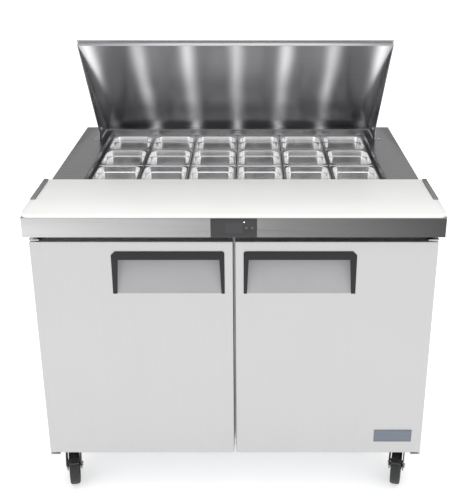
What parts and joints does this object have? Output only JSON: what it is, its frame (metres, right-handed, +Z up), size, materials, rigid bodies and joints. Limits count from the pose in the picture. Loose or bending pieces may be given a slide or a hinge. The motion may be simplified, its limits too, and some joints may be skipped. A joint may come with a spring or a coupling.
{
  "type": "sandwich prep table",
  "caption": "Refrigerated sandwich prep table on casters with an open pan cover, small steel pans in a rail, a white cutting board and two doors.",
  "frame": {"origin": "on the floor under the middle of the table's outer box", "axes": "+X to the user's right, +Y to the back, +Z up"},
  "size_m": [1.224, 0.9205, 1.4162],
  "materials": {
    "stainless_satin": "brushed, slightly polished",
    "stainless_lid": "brushed",
    "stainless_doors": "fine brushed",
    "stainless_pans": "polished",
    "galvanised_sheet": "zinc coated, satin",
    "zinc_hardware": "satin zinc plate",
    "white_polyethylene": "matt",
    "black_trim": "satin",
    "grey_scoop": "satin",
    "white_liner": "satin white",
    "foam": "matt",
    "gasket_rubber": "matt",
    "badge_plate": "brushed, blank",
    "window_glass": "gloss, dark",
    "key_plastic": "satin",
    "coated_wire": "plastic coated",
    "coil_aluminium": "bare",
    "fan_plastic": "matt",
    "black_paint": "satin",
    "caster_black": "satin",
    "wheel_rubber": "matt"
  },
  "bodies": {
    "cabinet": {"back_panel": "galvanised_sheet", "board_brackets": "stainless_satin", "cabinet_floor": "galvanised_sheet", "cabinet_foam": "foam", "caster_plates": "zinc_hardware", "compressor": "black_paint", "condenser_coil": "coil_aluminium", "condenser_motor": "black_paint", "control_plate": "black_trim", "display_window": "window_glass", "door_frame": "stainless_satin", "door_hinge_brackets": "zinc_hardware", "evaporator_coil": "coil_aluminium", "evaporator_shroud": "galvanised_sheet", "front_fascia": "stainless_satin", "inner_liner": "white_liner", "lid_pivot_brackets": "zinc_hardware", "pan_bars": "stainless_pans", "power_inlet": "fan_plastic", "rail_well": "stainless_satin", "rear_grille": "galvanised_sheet", "shelf_left": "coated_wire", "shelf_right": "coated_wire", "shelf_supports": "galvanised_sheet", "side_panel_left": "stainless_satin", "side_panel_right": "stainless_satin", "worktop": "stainless_satin"},
    "lid": {"lid_outer_skin": "stainless_satin", "lid_inner_panel": "stainless_lid", "lid_foam": "foam", "lid_pins": "zinc_hardware"},
    "door_left": {"door_left_core": "foam", "door_left_gasket": "gasket_rubber", "door_left_handle_scoop": "grey_scoop", "door_left_handle_trim": "black_trim", "door_left_skin": "stainless_doors"},
    "door_right": {"door_right_core": "foam", "door_right_gasket": "gasket_rubber", "door_right_handle_scoop": "grey_scoop", "door_right_handle_trim": "black_trim", "door_right_skin": "stainless_doors", "door_badge": "badge_plate"},
    "board": {"cutting_board": "white_polyethylene"},
    "pans_front": {"pan_row_front": "stainless_pans"},
    "pans_middle": {"pan_row_middle": "stainless_pans"},
    "pans_back": {"pan_row_back": "stainless_pans"},
    "fan_evaporator": {"evaporator_fan": "fan_plastic"},
    "fan_condenser": {"condenser_fan": "fan_plastic"},
    "key_up": {"button_up": "key_plastic"},
    "key_down": {"button_down": "key_plastic"},
    "swivel_front_left": {"caster_fork_front_left": "caster_black"},
    "wheel_front_left": {"caster_wheel_front_left": "wheel_rubber"},
    "swivel_front_right": {"caster_fork_front_right": "caster_black"},
    "wheel_front_right": {"caster_wheel_front_right": "wheel_rubber"},
    "swivel_rear_left": {"caster_fork_rear_left": "caster_black"},
    "wheel_rear_left": {"caster_wheel_rear_left": "wheel_rubber"},
    "swivel_rear_right": {"caster_fork_rear_right": "caster_black"},
    "wheel_rear_right": {"caster_wheel_rear_right": "wheel_rubber"},
    "brake_left": {"brake_lever_left": "caster_black"},
    "brake_right": {"brake_lever_right": "caster_black"}
  },
  "joints": [
    {"name": "lid_hinge", "type": "hinge", "parent": "cabinet", "child": "lid", "pos_m": [0, 0.313, 1.028], "axis": [-1, 0, 0], "range_deg": [-54.5, 0]},
    {"name": "door_left_hinge", "type": "hinge", "parent": "cabinet", "child": "door_left", "pos_m": [-0.582, -0.443, 0.5385], "axis": [0, 0, -1], "range_deg": [0, 100]},
    {"name": "door_right_hinge", "type": "hinge", "parent": "cabinet", "child": "door_right", "pos_m": [0.582, -0.443, 0.5385], "axis": [0, 0, 1], "range_deg": [0, 100]},
    {"name": "board_slide", "type": "slide", "parent": "cabinet", "child": "board", "axis": [0, -1, 0], "range_m": [0, 0.29]},
    {"name": "pans_front_lift", "type": "slide", "parent": "cabinet", "child": "pans_front", "axis": [0, 0, 1], "range_m": [0, 0.24]},
    {"name": "pans_middle_lift", "type": "slide", "parent": "cabinet", "child": "pans_middle", "axis": [0, 0, 1], "range_m": [0, 0.16]},
    {"name": "pans_back_lift", "type": "slide", "parent": "cabinet", "child": "pans_back", "axis": [0, 0, 1], "range_m": [0, 0.03]},
    {"name": "evaporator_fan_spin", "type": "hinge", "parent": "cabinet", "child": "fan_evaporator", "pos_m": [0, 0.144, 0.752], "axis": [0, 1, 0], "continuous": true},
    {"name": "condenser_fan_spin", "type": "hinge", "parent": "cabinet", "child": "fan_condenser", "pos_m": [0.3, 0.36, 0.285], "axis": [1, 0, 0], "continuous": true},
    {"name": "key_up_press", "type": "slide", "parent": "cabinet", "child": "key_up", "axis": [0, 1, 0], "range_m": [0, 0.0008], "stiffness_N_per_m": 400, "springref_m": -0.0005},
    {"name": "key_down_press", "type": "slide", "parent": "cabinet", "child": "key_down", "axis": [0, 1, 0], "range_m": [0, 0.0008], "stiffness_N_per_m": 400, "springref_m": -0.0005},
    {"name": "swivel_front_left_turn", "type": "hinge", "parent": "cabinet", "child": "swivel_front_left", "pos_m": [-0.548, -0.35, 0.1425], "axis": [0, 0, 1], "continuous": true},
    {"name": "wheel_front_left_roll", "type": "hinge", "parent": "swivel_front_left", "child": "wheel_front_left", "pos_m": [-0.5401, -0.38717, 0.062], "axis": [0.9781, 0.2079, 0], "continuous": true},
    {"name": "brake_left_press", "type": "hinge", "parent": "swivel_front_left", "child": "brake_left", "pos_m": [-0.53012, -0.43412, 0.117], "axis": [0.9781, 0.2079, 0], "range_deg": [0, 12]},
    {"name": "swivel_front_right_turn", "type": "hinge", "parent": "cabinet", "child": "swivel_front_right", "pos_m": [0.548, -0.35, 0.1425], "axis": [0, 0, 1], "continuous": true},
    {"name": "wheel_front_right_roll", "type": "hinge", "parent": "swivel_front_right", "child": "wheel_front_right", "pos_m": [0.53817, -0.38671, 0.062], "axis": [0.9659, -0.2588, 0], "continuous": true},
    {"name": "brake_right_press", "type": "hinge", "parent": "swivel_front_right", "child": "brake_right", "pos_m": [0.52574, -0.43307, 0.117], "axis": [0.9659, -0.2588, 0], "range_deg": [0, 12]},
    {"name": "swivel_rear_left_turn", "type": "hinge", "parent": "cabinet", "child": "swivel_rear_left", "pos_m": [-0.548, 0.35, 0.1425], "axis": [0, 0, 1], "continuous": true},
    {"name": "wheel_rear_left_roll", "type": "hinge", "parent": "swivel_rear_left", "child": "wheel_rear_left", "pos_m": [-0.55395, 0.31247, 0.062], "axis": [0.9877, -0.1564, 0], "continuous": true},
    {"name": "swivel_rear_right_turn", "type": "hinge", "parent": "cabinet", "child": "swivel_rear_right", "pos_m": [0.548, 0.35, 0.1425], "axis": [0, 0, 1], "continuous": true},
    {"name": "wheel_rear_right_roll", "type": "hinge", "parent": "swivel_rear_right", "child": "wheel_rear_right", "pos_m": [0.548, 0.312, 0.062], "axis": [1, 0, 0], "continuous": true}
  ]
}
